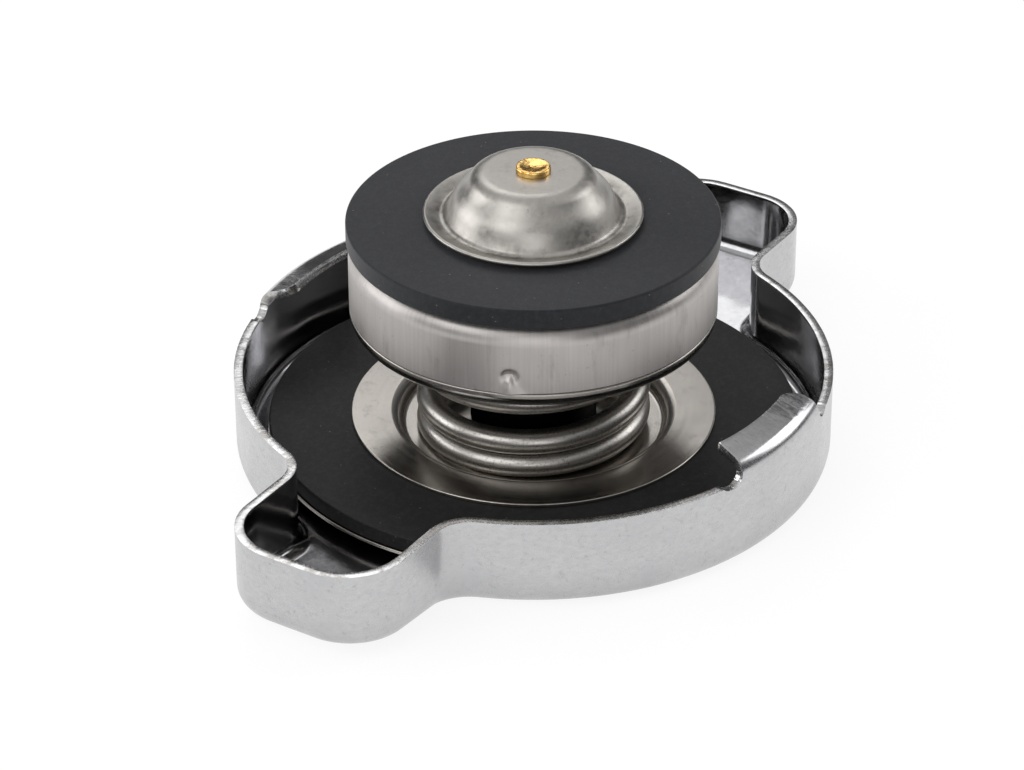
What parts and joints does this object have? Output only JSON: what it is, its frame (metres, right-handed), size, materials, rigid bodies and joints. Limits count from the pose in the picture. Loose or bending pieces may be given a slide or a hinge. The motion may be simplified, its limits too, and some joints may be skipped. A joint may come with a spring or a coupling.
{
  "type": "radiator cap",
  "caption": "Pressed metal radiator pressure cap with side ears, locking tabs, rubber seals, a coil-sprung pressure valve and a small vacuum valve.",
  "frame": {"origin": "on the cap's axis, at the crown's flat outer face, which the cap rests on", "axes": "+X through one ear, +Z along the axis from the crown towards the vacuum valve, +Y towards a locking tab"},
  "size_m": [0.098, 0.0682, 0.0361],
  "materials": {
    "shell_metal": "bright satin plated sheet",
    "stainless": "brushed stainless sheet",
    "dark_steel": "dark phosphated steel tube",
    "spring_steel": "drawn stainless wire",
    "rubber": "matt moulded rubber",
    "brass": "bright brass"
  },
  "bodies": {
    "cap": {"cap_shell": "shell_metal"},
    "carrier": {"centre_rivet": "stainless", "spring_disc": "stainless", "upper_gasket": "rubber", "spring_seat": "stainless", "stanchion": "dark_steel", "pressure_spring": "spring_steel"},
    "pressure_valve": {"retainer_plate": "stainless", "valve_cup": "stainless", "pressure_seal": "rubber", "vacuum_spring": "spring_steel"},
    "vacuum_valve": {"vacuum_plate": "stainless", "vacuum_stem": "brass", "vacuum_washer": "stainless"}
  },
  "joints": [
    {"name": "carrier_swivel", "type": "hinge", "parent": "cap", "child": "carrier", "pos_m": [0, 0, 0.0017], "axis": [0, 0, 1], "continuous": true},
    {"name": "pressure_relief", "type": "slide", "parent": "carrier", "child": "pressure_valve", "axis": [0, 0, -1], "range_m": [0, 0.0024], "stiffness_N_per_m": 8000, "springref_m": -0.0136, "deforming": ["pressure_spring"]},
    {"name": "vacuum_relief", "type": "slide", "parent": "pressure_valve", "child": "vacuum_valve", "axis": [0, 0, 1], "range_m": [0, 0.002], "stiffness_N_per_m": 560, "springref_m": -0.0025, "deforming": ["vacuum_spring"]}
  ]
}
